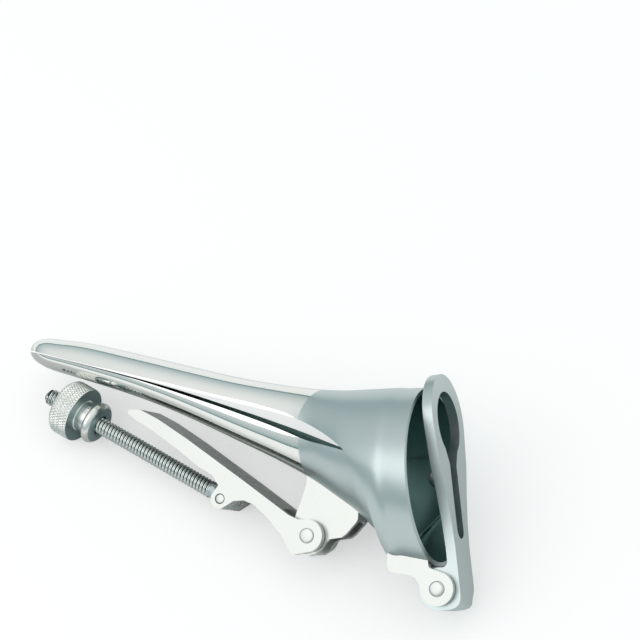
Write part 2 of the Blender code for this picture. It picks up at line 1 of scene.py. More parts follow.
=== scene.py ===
# %% [markdown]
# # A folded vaginal speculum on a white table
#
# The real object is a hand instrument of stainless steel. Two long valves spread
# from a ring collar, and a leg, a threaded rod and a keyhole lever fold against
# them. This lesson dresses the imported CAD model: the sheet valves are lofted again
# with many more sections, because a polished surface shows every facet. The rod and
# the nut are spun with their thread and knurl, the two brackets are ground to the sheet
# they sit on, and the leg and the lever keep the CAD shape and get rounded edges.
#
# Everything stands in the model's own frame, in metres, with +Z up from the table.

import json
from math import atan2, cos, pi, radians, sin, sqrt, tan

import bmesh
import bpy
from mathutils import Matrix, Vector


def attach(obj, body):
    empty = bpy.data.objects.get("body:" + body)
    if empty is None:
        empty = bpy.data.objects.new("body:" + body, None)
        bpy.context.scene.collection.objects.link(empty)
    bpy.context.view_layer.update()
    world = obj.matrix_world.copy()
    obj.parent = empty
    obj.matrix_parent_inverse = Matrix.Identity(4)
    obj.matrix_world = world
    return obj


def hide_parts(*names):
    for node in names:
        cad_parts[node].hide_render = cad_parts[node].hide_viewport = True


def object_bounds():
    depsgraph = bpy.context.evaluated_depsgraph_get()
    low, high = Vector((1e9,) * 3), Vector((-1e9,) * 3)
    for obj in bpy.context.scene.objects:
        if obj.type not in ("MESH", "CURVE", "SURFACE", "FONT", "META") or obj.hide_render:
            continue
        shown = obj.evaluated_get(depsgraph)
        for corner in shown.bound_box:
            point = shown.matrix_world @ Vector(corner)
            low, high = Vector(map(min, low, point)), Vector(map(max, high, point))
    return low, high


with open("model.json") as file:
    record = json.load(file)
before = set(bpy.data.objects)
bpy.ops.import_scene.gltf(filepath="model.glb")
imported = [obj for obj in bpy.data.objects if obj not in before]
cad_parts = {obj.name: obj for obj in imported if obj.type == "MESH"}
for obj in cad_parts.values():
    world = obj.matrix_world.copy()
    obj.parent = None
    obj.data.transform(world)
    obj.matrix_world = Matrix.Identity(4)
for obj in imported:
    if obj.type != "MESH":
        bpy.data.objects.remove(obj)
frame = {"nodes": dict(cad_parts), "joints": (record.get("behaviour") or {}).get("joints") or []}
cad_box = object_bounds()
MM = 0.001
print("nodes:", ", ".join(sorted(frame["nodes"])))

# %% [markdown]
# ## The instrument's own frame
#
# The folded instrument lies on its side, rolled until the rim, the nut and the leg's
# heel touch the table. It is far easier to model with its mid plane upright: +X out
# of the mouth, +Z up, Y across the blades. LAID carries that frame to the table, so
# each piece is modelled upright and its finished mesh is laid down in one step. Its
# origin is on the mid plane, 1.4 mm above the hinge of the valves.

# %% From the upright frame to the table
ROLL = radians(28.35)
PITCH = radians(-11.74)
ORIGIN_AT = (51.261 * MM, 2.202 * MM, 23.931 * MM)
LAID = (Matrix.Translation(ORIGIN_AT) @ Matrix.Rotation(PITCH, 4, 'Y')
        @ Matrix.Rotation(ROLL, 4, 'X') @ Matrix.Rotation(radians(-90), 4, 'X'))
UPRIGHT = LAID.inverted()
joint_at = {joint["name"]: Vector(joint["pos_m"]) for joint in frame["joints"]}
for name, place in joint_at.items():
    print(name, [round(value / MM, 1) for value in UPRIGHT @ place], "mm upright")

# %% [markdown]
# ## Colours
#
# Colours are picked as sRGB hex, the way a painter names them, and the renderer wants
# linear light, so one function turns them.

# %% One function for colour
def linear(hex_colour):
    """sRGB hex to linear RGBA."""
    channels = [int(hex_colour[k:k + 2], 16) / 255 for k in (1, 3, 5)]
    values = [c / 12.92 if c <= 0.04045 else ((c + 0.055) / 1.055) ** 2.4 for c in channels]
    return (*values, 1.0)


print("a mid grey is", [round(c, 3) for c in linear("#808080")])

# %% [markdown]
# ## Steel
#
# All of it is one stainless steel, and mostly only the finish differs, with shade and a dim
# reflection painted into a few colours. The blades are mirror polished on a buffing
# wheel, which leaves faint long waves. The funnel, the collar and the lever are blasted
# with fine glass beads, which scatters the light in a soft satin, and the leg, the
# brackets and the rivets have a finer satin. The inner side of the valves is painted
# darker and greener as shade. The nut is bright from the lathe; its end faces are
# rougher and painted darker, as a painted reflection of the dim room. The thread is
# rolled, and its root is painted dark as shade.
#
# The pattern sizes come from those tools. Beads leave pits near 0.1 mm, drawn here
# at 0.25 mm so that they show, and a buffing wheel's waves are some 12 mm long.
#
# Metal keeps the default IOR, so each finish is only a colour, a roughness and a bump.

# %% One function for a node
def add_node(owner, kind, settings=None, links=None):
    """Add a shader node, set its sockets or fields, and link sockets into it.

    A key is a socket's name or number, or a field's name. The owner is a material or
    the world.
    """
    tree = owner.node_tree
    node = tree.nodes.new(kind)
    for key, value in (settings or {}).items():
        if isinstance(key, int) or key in node.inputs:
            node.inputs[key].default_value = value
        else:
            setattr(node, key, value)
    for key, source in (links or {}).items():
        tree.links.new(source, node.inputs[key])
    return node


def new_steel(name, roughness, colour):
    """A metal with plain sockets, ready for its pattern."""
    material = bpy.data.materials.new(name)
    material.use_nodes = True
    shader = material.node_tree.nodes["Principled BSDF"]
    shader.inputs["Metallic"].default_value = 1.0
    shader.inputs["Roughness"].default_value = roughness
    shader.inputs["Base Color"].default_value = linear(colour)
    return material, shader


def link(owner, source, target):
    """Link an output socket to a shader's input."""
    owner.node_tree.links.new(source, target)


print("node helpers ready: add_node, new_steel, link")

# %% [markdown]
# ### Blasted steel
#
# Three octaves of noise at 4000 cycles a metre give pits a quarter of a millimetre
# apart. A second, slow noise shifts the roughness and the tone a little, as a hand
# that moves the nozzle does.

# %% Blasted satin steel
PIT, PIT_DEPTH = 0.25 * MM, 0.01 * MM
NOZZLE_PATCH = 9 * MM
WAVE, WAVE_DEPTH = 12 * MM, 0.08 * MM


def pitted(material, place):
    """The fine bump of blasted steel."""
    pits = add_node(material, "ShaderNodeTexNoise",
                    {"Scale": 1.0 / PIT, "Detail": 3.0, "Roughness": 0.6},
                    {"Vector": place.outputs["Object"]})
    return add_node(material, "ShaderNodeBump", {"Strength": 0.35, "Distance": PIT_DEPTH},
                    {"Height": pits.outputs["Fac"]})


def blasted_steel(name, colour, deep, roughness):
    """Steel between two close tones, in soft patches, with fine pits."""
    material, shader = new_steel(name, roughness, colour)
    place = add_node(material, "ShaderNodeTexCoord")
    cloud = add_node(material, "ShaderNodeTexNoise",
                     {"Scale": 1.0 / NOZZLE_PATCH, "Detail": 2.0},
                     {"Vector": place.outputs["Object"]})
    rough = add_node(material, "ShaderNodeMapRange",
                     {"To Min": roughness - 0.04, "To Max": roughness + 0.05},
                     {"Value": cloud.outputs["Fac"]})
    tone = add_node(material, "ShaderNodeMix",
                    {"data_type": 'RGBA', 6: linear(deep), 7: linear(colour)},
                    {0: cloud.outputs["Fac"]})
    link(material, tone.outputs[2], shader.inputs["Base Color"])
    link(material, rough.outputs["Result"], shader.inputs["Roughness"])
    link(material, pitted(material, place).outputs["Normal"], shader.inputs["Normal"])
    return material


# A wide soft highlight on the collar, the lever and the side rivets.
satin = blasted_steel("stainless steel, bead blasted", "#c6d0d0", "#bac6c7", 0.32)
# Paler and a little tighter on the leg, the brackets and their rivets.
pale = blasted_steel("stainless steel, fine satin", "#cdd0cc", "#c2c6c4", 0.27)
# The brightest finish, so that each diamond of the knurl sparkles.
turned = blasted_steel("stainless steel, turned", "#f0f1ed", "#e4e6e2", 0.24)
# A flat face, its colour painted dim as a painted reflection of the dim side of the room.
dim_painted_end_faces = blasted_steel("stainless steel, faced and painted dim as a reflection", "#9fb2b3", "#8fa3a4", 0.34)
# Crests that the rolls have burnished, and roots painted dark as shade in the thread.
thread_steel = blasted_steel("stainless steel, rolled thread", "#e6ebe9", "#dce2e0", 0.15)
root_painted_shade_steel = blasted_steel("stainless steel, thread root painted dark as shade",
                             "#405655", "#334847", 0.45)
# The inner side is duller, and its colour is painted darker and greener: painted shade inside the
# valves, and a painted reflection of more steel.
inside_painted_shade_steel = blasted_steel("stainless steel, blasted inside the valves",
                             "#72918e", "#668683", 0.40)
for steel in (satin, pale, turned, dim_painted_end_faces, thread_steel, root_painted_shade_steel, inside_painted_shade_steel):
    print(steel.name)

# %% [markdown]
# ### Valves: mirror in front, satin behind
#
# Valve and funnel are one sheet, and only its finish changes, along a line that the
# mask for blasting left. The material holds both finishes. A Mapping node turns Object
# coordinates upright, where X runs along the blades, and the finish changes where X
# passes the line. The line bows: near the top of the valve it lies further back.

# %% Polished blades with a blasted funnel
BUFFED, BUFFED_ROUGHNESS = "#f0f1ee", 0.07
MASK_BLUR = 0.15 * MM


def valve_steel(name, line_x, bow, bow_z):
    """Buffed steel in front of the line and blasted steel behind it."""
    material, shader = new_steel(name, BUFFED_ROUGHNESS, BUFFED)
    place = add_node(material, "ShaderNodeTexCoord")
    upright = add_node(material, "ShaderNodeMapping",
                       {"Location": UPRIGHT.translation, "Rotation": UPRIGHT.to_euler('XYZ')},
                       {"Vector": place.outputs["Object"]})
    split = add_node(material, "ShaderNodeSeparateXYZ", {}, {"Vector": upright.outputs["Vector"]})
    lift = add_node(material, "ShaderNodeMath", {"operation": 'SUBTRACT', 1: bow_z},
                    {0: split.outputs["Z"]})
    bend = add_node(material, "ShaderNodeMath", {"operation": 'MULTIPLY', 1: bow},
                    {0: lift.outputs[0]})
    along = add_node(material, "ShaderNodeMath", {"operation": 'SUBTRACT'},
                     {0: split.outputs["X"], 1: bend.outputs[0]})
    blasted = add_node(material, "ShaderNodeMapRange",
                       {"From Min": line_x - MASK_BLUR, "From Max": line_x + MASK_BLUR},
                       {"Value": along.outputs[0]})
    waves = add_node(material, "ShaderNodeTexNoise", {"Scale": 1.0 / WAVE, "Detail": 1.0},
                     {"Vector": place.outputs["Object"]})
    slow = add_node(material, "ShaderNodeBump", {"Strength": 0.12, "Distance": WAVE_DEPTH},
                    {"Height": waves.outputs["Fac"]})
    facing = add_node(material, "ShaderNodeMix", {"data_type": 'VECTOR'},
                      {0: blasted.outputs["Result"], 4: slow.outputs["Normal"],
                       5: pitted(material, place).outputs["Normal"]})
    tone = add_node(material, "ShaderNodeMix",
                    {"data_type": 'RGBA', 6: linear(BUFFED), 7: linear("#c2cdce")},
                    {0: blasted.outputs["Result"]})
    rough = add_node(material, "ShaderNodeMapRange",
                     {"To Min": BUFFED_ROUGHNESS, "To Max": 0.34},
                     {"Value": blasted.outputs["Result"]})
    link(material, tone.outputs[2], shader.inputs["Base Color"])
    link(material, rough.outputs["Result"], shader.inputs["Roughness"])
    link(material, facing.outputs[1], shader.inputs["Normal"])
    return material


upper_steel = valve_steel("stainless steel, buffed blade and blasted collar",
                          -29.9 * MM, 0.3, 12 * MM)
lower_steel = valve_steel("stainless steel, buffed blade and blasted funnel",
                          -29.3 * MM, 0.0, 0.0)
print("the two valve steels have", len(upper_steel.node_tree.nodes), "nodes each")

# %% [markdown]
# ## Helpers for meshes
#
# A finished piece is a mesh in the model's frame with its object at the origin. `finish`
# takes a bmesh that was modelled upright, turns its faces outward, lays it down,
# shades it, and lets it ride on its body in place of the CAD node.
#
# Corners that a spin or a wrapped grid leaves twice are merged, and so are those of the
# CAD's loose triangles and of cuts, which lie a little further apart.

# %% Finish a piece
MERGE = 0.001 * MM
CAD_MERGE = 0.002 * MM


def finish(bm, name, body, materials, node=None, sharp=40.0, recalc=True, lay=True):
    """Make the piece's object and let it ride on its body; sharp is in degrees."""
    if recalc:
        bmesh.ops.recalc_face_normals(bm, faces=bm.faces)
    if lay:
        bmesh.ops.transform(bm, matrix=LAID, verts=bm.verts)
    mesh = bpy.data.meshes.new(name)
    bm.to_mesh(mesh)
    bm.free()
    mesh.shade_smooth()
    mesh.set_sharp_from_angle(angle=radians(sharp))
    for material in materials if isinstance(materials, list) else [materials]:
        mesh.materials.append(material)
    piece = bpy.data.objects.new(name, mesh)
    bpy.context.scene.collection.objects.link(piece)
    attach(piece, body)
    if node:
        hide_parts(node)
    print(name, len(mesh.polygons), "faces")
    return piece


def smooth_line(points, steps):
    """Catmull-Rom curve through the points."""
    ends = [points[0], *points, points[-1]]
    line = []
    for a, b, c, d in zip(ends, ends[1:], ends[2:], ends[3:]):
        for step in range(steps):
            t = step / steps
            line.append(tuple(
                0.5 * (2 * b[k] + (c[k] - a[k]) * t + (2 * a[k] - 5 * b[k] + 4 * c[k] - d[k]) * t * t
                       + (3 * b[k] - a[k] - 3 * c[k] + d[k]) * t ** 3)
                for k in range(len(b))))
    line.append(points[-1])
    return line


def quarter_turn(steps):
    """Angles from nothing to a right angle, for a round stretch of a profile."""
    return [radians(90 * step / steps) for step in range(steps + 1)]


print("three points make a line of", len(smooth_line([(0, 0), (1, 1), (2, 0)], 4)))

# %% [markdown]
# ## Valves
#
# On the real instrument each valve is pressed from 1.2 mm sheet over a steel form. The
# same is done here: a flat grid is wrapped round the sections of the form, Solidify
# gives the wall, and a Boolean trims the free edge to its side view. The sections are
# nearly the CAD's own, with more steps between them and 192 sides round.
#
# A section is written as x, the heights of its crown, side and foot, its half width,
# its fullness (2 is an ellipse) and, for the collar, how far it leans. All but the
# last two are in millimetres. The round ends of the blades are eleven more sections,
# each smaller than the one before.

# %% Sections of the two valves
SHEET = 1.2 * MM
RIM_X, RIM_Z, RIM_RADIUS, RIM_LEAN = 6.5, -2.2, 24.6, radians(5.8)
HINGE_Z = -1.4
COLLAR_HALF = 23.75
COLLAR = [
    (RIM_X, RIM_Z + RIM_RADIUS, RIM_Z, RIM_Z - RIM_RADIUS, RIM_RADIUS, 2.0, RIM_LEAN),
    (0.0, 22.05, HINGE_Z, -26.3, COLLAR_HALF, 2.0, 0.6 * RIM_LEAN),
    (-4.2, 22.1, -0.9, -26.1, 23.2, 2.0, 0.3 * RIM_LEAN),
]
UPPER_BLADE = [
    (-14.0, 21.5, 3.0, -19.5, 20.2, 2.0), (-21.0, 21.1, 7.2, -10.0, 17.0, 2.05),
    (-29.0, 21.3, 10.6, -3.0, 13.9, 2.15), (-40.0, 22.3, 13.2, 4.0, 12.6, 2.25),
    (-56.0, 24.6, 16.5, 9.0, 12.1, 2.3), (-85.0, 30.3, 22.5, 16.0, 11.3, 2.3),
    (-102.0, 33.5, 26.1, 20.0, 10.5, 2.3), (-111.7, 34.45, 28.1, 23.0, 9.9, 2.3),
]
LOWER_BLADE = [
    (7.0, 20.0, -1.4, -24.0, 22.7, 2.0), (0.0, 19.5, -1.4, -23.0, 22.15, 2.0),
    (-4.2, 19.3, -0.6, -21.5, 21.3, 2.0), (-9.0, 19.0, 1.4, -17.6, 20.0, 2.0),
    (-14.0, 18.0, 3.4, -13.4, 18.3, 2.0), (-21.0, 17.0, 5.6, -9.0, 16.2, 2.05),
    (-29.0, 17.0, 7.4, -4.3, 13.8, 2.15), (-40.0, 19.0, 10.9, 0.8, 12.6, 2.25),
    (-54.0, 22.0, 15.0, 6.5, 12.1, 2.3), (-70.0, 25.0, 19.6, 12.8, 11.75, 2.3),
    (-85.8, 28.0, 23.9, 18.0, 11.3, 2.3), (-102.0, 31.0, 27.5, 22.3, 10.5, 2.3),
    (-111.7, 33.0, 29.4, 24.7, 9.9, 2.3),
]
TIP_ROUND = 10.3
TIP_DEGREES = (12, 25, 36, 46, 55, 63, 70, 76, 81, 85, 88)
TIP_CLIMB = 0.205
TIP_POWER = 0.8
SIDES = 192


def tip_sections(last):
    """Sections of the rounded blade end."""
    x0, crown, side, foot, half, fullness = last[:6]
    sections = []
    for degrees in TIP_DEGREES:
        forward = TIP_ROUND * sin(radians(degrees))
        size = cos(radians(degrees))
        middle = side + TIP_CLIMB * forward
        sections.append((x0 - forward, middle + (crown - side) * size ** TIP_POWER, middle,
                         middle - (side - foot) * size ** TIP_POWER, half * size, fullness, 0.0))
    return sections


upper_sections = (smooth_line(COLLAR + [(*s, 0.0) for s in UPPER_BLADE], 6)
                  + tip_sections(UPPER_BLADE[-1]))
lower_sections = (smooth_line([(*s, 0.0) for s in LOWER_BLADE], 6)
                  + tip_sections(LOWER_BLADE[-1]))
print(len(upper_sections), "and", len(lower_sections), "sections")

# %% [markdown]
# ### Wrapping the grid
#
# One row of the grid goes round each section. Where the lower half of a section hangs
# deeper than the section is wide, it is drawn slimmer than an ellipse, so that the
# funnel runs down to a keel and its sides stay round. The last small ring is closed.

# %% Wrap a grid round the sections
SLIMMING = 2.8


def wrap_sections(sections):
    """A grid, one row to a section, wrapped into a tube and closed at the tip."""
    bm = bmesh.new()
    bmesh.ops.create_grid(bm, x_segments=SIDES, y_segments=len(sections) - 1, size=0.5)
    for vert in bm.verts:
        turn = round((vert.co.x + 0.5) * SIDES) % SIDES
        row = round((vert.co.y + 0.5) * (len(sections) - 1))
        x, crown, side, foot, half, fullness, lean = sections[row]
        angle = 2 * pi * turn / SIDES
        deep = max(0.0, (side - foot) / half - 1.0)
        power = 2.0 / (fullness if cos(angle) >= 0 else fullness - SLIMMING * deep)
        across = half * abs(sin(angle)) ** power * (1 if sin(angle) >= 0 else -1)
        rise = abs(cos(angle)) ** power
        z = side + (crown - side) * rise if cos(angle) >= 0 else side - (side - foot) * rise
        vert.co = Vector((x - (z - side) * tan(lean), across, z)) * MM
    bmesh.ops.remove_doubles(bm, verts=bm.verts, dist=MERGE)
    low = min(vert.co.x for vert in bm.verts)
    rim = [edge for edge in bm.edges if edge.is_boundary
           and all(vert.co.x < low + 2 * MM for vert in edge.verts)]
    bmesh.ops.contextual_create(bm, geom=rim)
    bmesh.ops.recalc_face_normals(bm, faces=bm.faces)
    return bm


print("a wrapped valve has", SIDES * (len(upper_sections) - 1) + 1, "faces")

# %% [markdown]
# ### Trimming the sheet
#
# The free edge is a smooth curve in side view, so the tool is a thick plate with that
# outline, pushed through the whole shell. Both objects are plain meshes, and the
# modifiers are applied by reading the evaluated mesh back, so no tool is left behind.
# An outline may be hollow, so its border is made of edges first: a face made from
# loose corners would take them in the wrong order.

# %% Trim a shell with plates
BAR_SIDES = 48


def bare_object(name, bm, materials=()):
    """A plain object, for a modifier to work on or with."""
    mesh = bpy.data.meshes.new(name)
    bm.to_mesh(mesh)
    bm.free()
    for material in materials:
        mesh.materials.append(material)
    thing = bpy.data.objects.new(name, mesh)
    bpy.context.scene.collection.objects.link(thing)
    return thing


def outline_plate(outline, half_thickness):
    """A plate in the X-Z plane, thick along Y, from an outline in millimetres."""
    bm = bmesh.new()
    corners = [bm.verts.new((x * MM, -half_thickness, z * MM)) for x, z in outline]
    border = [bm.edges.new(pair) for pair in zip(corners, corners[1:] + corners[:1])]
    face = bmesh.ops.edgeloop_fill(bm, edges=border)["faces"]
    grown = bmesh.ops.extrude_face_region(bm, geom=face)["geom"]
    moved = [item for item in grown if isinstance(item, bmesh.types.BMVert)]
    bmesh.ops.translate(bm, verts=moved, vec=(0, 2 * half_thickness, 0))
    bmesh.ops.recalc_face_normals(bm, faces=bm.faces)
    return bm


def cross_bar(x, z, radius, half_length):
    """A round bar along Y, for cutting a hole."""
    bm = bmesh.new()
    laid = Matrix.Translation((x, 0, z)) @ Matrix.Rotation(radians(90), 4, 'X')
    bmesh.ops.create_cone(bm, cap_ends=True, segments=BAR_SIDES, radius1=radius, radius2=radius,
                          depth=2 * half_length, matrix=laid)
    return bm


def carved(start, tools, materials=(), wall=0.0):
    """Give a shell its wall if it has one, run the tools through it, and return the mesh."""
    blank = bare_object("blank", start, materials)
    if wall:
        sheet = blank.modifiers.new("wall", 'SOLIDIFY')
        sheet.thickness = wall
        sheet.offset = -1.0  # the wall grows inwards
        sheet.use_even_offset = True
        # painted shade: the inner side of the wall takes the darker second material
        sheet.material_offset = 1  # the inner side takes the second finish
    used = []
    for operation, tool in tools:
        cutter = bare_object("tool", tool, materials)
        cut = blank.modifiers.new("cut", 'BOOLEAN')
        cut.operation = operation
        cut.solver = 'EXACT'
        cut.object = cutter
        used.append(cutter)
    bpy.context.view_layer.update()
    settled = blank.evaluated_get(bpy.context.evaluated_depsgraph_get())
    bm = bmesh.new()
    bm.from_mesh(settled.to_mesh())
    settled.to_mesh_clear()
    for thing in [blank, *used]:
        mesh = thing.data
        bpy.data.objects.remove(thing)
        bpy.data.meshes.remove(mesh)
    bmesh.ops.remove_doubles(bm, verts=bm.verts, dist=CAD_MERGE)
    return bm


print("holes are bored with a bar of", BAR_SIDES, "sides")

# %% [markdown]
# ### Free edges
#
# The upper valve is cut away below its edge, from the collar to the tip. The lower
# valve keeps what is inside its outline: the blade, an ear round each rivet, and a
# rear edge that stays clear of the collar as the valve swings. The points are in
# millimetres, in side view.

# %% Free edges in side view
UPPER_EDGE = [
    (-4.2, -34.0), (-4.2, -24.0), (-4.9, -15.0), (-6.3, -7.5), (-8.0, -2.4), (-10.8, 1.2),
    (-15.0, 4.6), (-21.0, 8.0), (-29.6, 11.6), (-38.0, 13.8), (-48.6, 15.9),
    (-59.3, 18.2), (-85.0, 23.5), (-108.0, 28.3), (-126.0, 32.0),
]
LOWER_EDGE = [
    (-14.0, 3.2), (-20.0, 4.5), (-27.6, 6.2), (-38.2, 9.8), (-48.9, 13.1), (-59.7, 16.2),
    (-80.0, 21.7), (-100.0, 26.25), (-126.0, 31.6),
]
REAR_EDGE = [(2.6, -10.6), (-1.4, -17.4), (-2.6, -24.0), (-2.6, -34.0)]
EAR_RADIUS = 5.7
RIVET_HOLE = 1.9 * MM
PAST_TIP = -140.0
THROUGH = 40 * MM

edge = smooth_line(UPPER_EDGE, 10)
away = edge + [(PAST_TIP, edge[-1][1]), (PAST_TIP, edge[0][1])]
upper_cut = outline_plate(away, THROUGH)
ear = [(EAR_RADIUS * cos(radians(a)), HINGE_Z + EAR_RADIUS * sin(radians(a)))
       for a in range(-30, 101, 5)]
keep = REAR_EDGE[::-1] + ear + smooth_line(LOWER_EDGE, 10)
keep += [(PAST_TIP, keep[-1][1]), (PAST_TIP, REAR_EDGE[-1][1])]
lower_keep = outline_plate(keep, THROUGH)
ear_holes = cross_bar(0, HINGE_Z * MM, RIVET_HOLE, THROUGH)
print("edges have", len(away), "and", len(keep), "points")

# %% Press and trim the valves
steels = [upper_steel, inside_painted_shade_steel]
finish(carved(wrap_sections(upper_sections), [('DIFFERENCE', upper_cut)], steels, SHEET),
       "upper_valve_and_collar", "collar_body", steels, "upper_valve", recalc=False)
steels = [lower_steel, inside_painted_shade_steel]
finish(carved(wrap_sections(lower_sections), [('INTERSECT', lower_keep), ('DIFFERENCE', ear_holes)],
              steels, SHEET),
       "lower_valve_with_ears", "lower_valve_body", steels, "lower_valve", recalc=False)

# %% [markdown]
# ## Forged pieces
#
# The leg and the lever have the right shape in the CAD model, but its edges are knife
# sharp, and a real edge is tumbled round and catches a line of light. Each CAD mesh is
# copied, its loose triangles are merged and its flat faces dissolved, and the edges
# that turn by more than 30 degrees get a small bevel. Weighted normals then keep the
# flat faces flat beside the rounded edges.

# %% Round the edges of a piece
FLAT = radians(0.6)


def merged_copy(node):
    """The CAD node's mesh with its loose triangles joined and its flat faces made whole."""
    bm = bmesh.new()
    bm.from_mesh(frame["nodes"][node].data)
    bmesh.ops.remove_doubles(bm, verts=bm.verts, dist=CAD_MERGE)
    bmesh.ops.dissolve_limit(bm, angle_limit=FLAT, verts=bm.verts, edges=bm.edges)
    return bm


def round_edges(bm, width, angle=30.0):
    """Bevel the edges that turn by more than an angle in degrees."""
    edges = [edge for edge in bm.edges if len(edge.link_faces) == 2
             and edge.calc_face_angle(0.0) > radians(angle)]
    bmesh.ops.bevel(bm, geom=edges, offset=width, offset_type='OFFSET', segments=2,
                    profile=0.5, affect='EDGES', clamp_overlap=True, material=-1)


def keep_flats_flat(piece):
    """Shade the large faces flat and let the bevels carry the turn."""
    even = piece.modifiers.new("flat faces stay flat", 'WEIGHTED_NORMAL')
    even.keep_sharp = True
    even.weight = 100


leg_bm = merged_copy("leg")
round_edges(leg_bm, 0.35 * MM)
keep_flats_flat(finish(leg_bm, "leg_forging", "leg_body", pale, "leg",
                       sharp=50.0, recalc=False, lay=False))

# %% [markdown]
# ### Lever
#
# The knuckle is round where it turns in its lugs, but its outer lower corner is left
# almost square, where the leaf runs past the pin. That corner of the CAD's circle is
# swelled to a superellipse, whose sides stay in place while its diagonal moves out,
# and what would pass the model's own box is pressed back to it.

# %% Keyhole lever
LEVER_ANGLE = radians(99.8)
KNUCKLE_RADIUS = 5.9 * MM
PIN_EDGE = 0.6 * KNUCKLE_RADIUS
HEEL_POWER = 4.0
lever_frame = (LAID @ Matrix.Translation(UPRIGHT @ joint_at["lever_fold"])
               @ Matrix.Rotation(-LEVER_ANGLE, 4, 'Y'))
lever_bm = merged_copy("lever")
bmesh.ops.transform(lever_bm, matrix=lever_frame.inverted(), verts=lever_bm.verts)
for vert in lever_bm.verts:
    reach = sqrt(vert.co.x ** 2 + vert.co.z ** 2)
    if vert.co.x < 0 and vert.co.z < 0 and reach > PIN_EDGE:
        turn = atan2(vert.co.z, vert.co.x)
        swell = (abs(cos(turn)) ** HEEL_POWER + abs(sin(turn)) ** HEEL_POWER) ** (-1 / HEEL_POWER)
        vert.co.x *= swell
        vert.co.z *= swell
bmesh.ops.transform(lever_bm, matrix=lever_frame, verts=lever_bm.verts)
for vert in lever_bm.verts:
    vert.co.x = min(vert.co.x, cad_box[1][0] - 0.02 * MM)
round_edges(lever_bm, 0.3 * MM)
keep_flats_flat(finish(lever_bm, "keyhole_lever", "lever_body", satin, "lever",
                       sharp=50.0, recalc=False, lay=False))

# %% [markdown]
# ### Brackets
#
# Both brackets are channels folded from sheet. Their upper edges are ground to the
# sheet they sit on and soldered to it, so no gap shows. Here the host's own form is
# the tool that grinds them, and a rounded bar hollows the channel from below. The
# lugs also leave room for the lever's knuckle to turn.

# %% Channels ground to their hosts
BITE = 0.06
KNUCKLE_ROOM = 1.0 * MM
BETWEEN_LUGS = 6.4 * MM


def arc(centre, radius, start, finish_at, steps):
    """Points on a round stretch, angles in degrees from +X towards +Z."""
    points = []
    for step in range(steps + 1):
        angle = radians(start + (finish_at - start) * step / steps)
        points.append((centre[0] + radius * cos(angle), centre[1] + radius * sin(angle)))
    return points


def host_form(sections):
    """The closed form of a valve, a little smaller, so that the ground edge bites in."""
    bm = wrap_sections([(x, crown - BITE, side, foot + BITE, half - BITE, fullness, lean)
                        for x, crown, side, foot, half, fullness, lean in sections])
    bmesh.ops.holes_fill(bm, edges=bm.edges, sides=0)
    bmesh.ops.recalc_face_normals(bm, faces=bm.faces)
    return bm


def channel_room(half, top, slope):
    """A bar with rounded upper edges; its top passes through a point and falls by slope."""
    length, height = 70 * MM, 40 * MM
    bm = bmesh.new()
    bmesh.ops.create_cube(bm, size=1.0)
    bmesh.ops.scale(bm, vec=(length, 2 * half, height), verts=bm.verts)
    bmesh.ops.translate(bm, vec=(0, 0, -height / 2), verts=bm.verts)
    upper = [edge for edge in bm.edges if all(vert.co.z > -1 * MM for vert in edge.verts)
             and abs(edge.verts[0].co.x - edge.verts[1].co.x) > length / 2]
    bmesh.ops.bevel(bm, geom=upper, offset=0.8 * MM, segments=4, profile=0.5, affect='EDGES')
    turn = Matrix.Translation((top[0] * MM, 0, top[1] * MM)) @ Matrix.Rotation(slope, 4, 'Y')
    bmesh.ops.transform(bm, matrix=turn, verts=bm.verts)
    return bm


LEG_PIVOT = (-28.3, -20.1)
LEVER_PIVOT = (11.4, -32.9)
leg_bracket_line = (
    [(-29.6, 2.0), (-30.4, -6.0), (-31.6, -10.5), (-32.6, -13.2), (-33.4, -16.0), (-33.5, -19.6)]
    + arc(LEG_PIVOT, 5.2, 180, 268, 8)
    + [(-26.6, -25.1), (-25.0, -24.0), (-23.6, -21.8), (-22.3, -20.7), (-20.6, -20.4),
       (-18.8, -20.1), (-17.4, -19.0), (-14.7, -15.8), (-14.2, -14.9), (-14.2, 2.0)])
lug_line = (
    [(-3.4, -20.0), (-3.4, -26.8)] + arc((-1.1, -26.9), 2.3, 190, 260, 4)
    + [(3.2, -29.5), (5.0, -30.3), (6.3, -32.2)] + arc(LEVER_PIVOT, 4.7, 205, 440, 22)
    + [(9.0, -27.3), (8.6, -26.6), (7.9, -20.0)])
lug_room = cross_bar(LEVER_PIVOT[0] * MM, LEVER_PIVOT[1] * MM,
                     KNUCKLE_RADIUS + KNUCKLE_ROOM, BETWEEN_LUGS)
# node, body, outline, half width, sheet, a point on the channel's roof and its fall in
# degrees, sections of the host, and more tools
brackets = (
    ("leg_bracket", "lower_valve_body", leg_bracket_line, 4.0, 1.5, (-29.0, -6.8), 31.2,
     lower_sections, []),
    ("lug_bracket", "collar_body", lug_line, 8.2, 1.8, (-3.4, -28.0), 3.0,
     upper_sections, [lug_room]))
for node, body, line, half, sheet, top, slope, sections, extra in brackets:
    tools = [host_form(sections), channel_room((half - sheet) * MM, top, radians(slope)), *extra]
    bm = carved(outline_plate(line, half * MM), [('DIFFERENCE', tool) for tool in tools])
    bmesh.ops.dissolve_limit(bm, angle_limit=FLAT, verts=bm.verts, edges=bm.edges)
    round_edges(bm, 0.22 * MM, angle=40.0)
    keep_flats_flat(finish(bm, node + "_folded", body, pale, node,
                           sharp=50.0, recalc=False))

# %% [markdown]
# ### Rivets
#
# A rivet is a turned pin with a low head hammered on each end. The two side rivets are
# ground flush outside and blasted with the collar, so outside they don't show at all.

# %% Turn the rivets
PIN_SIDES = 56
HEAD_POWER = 0.6


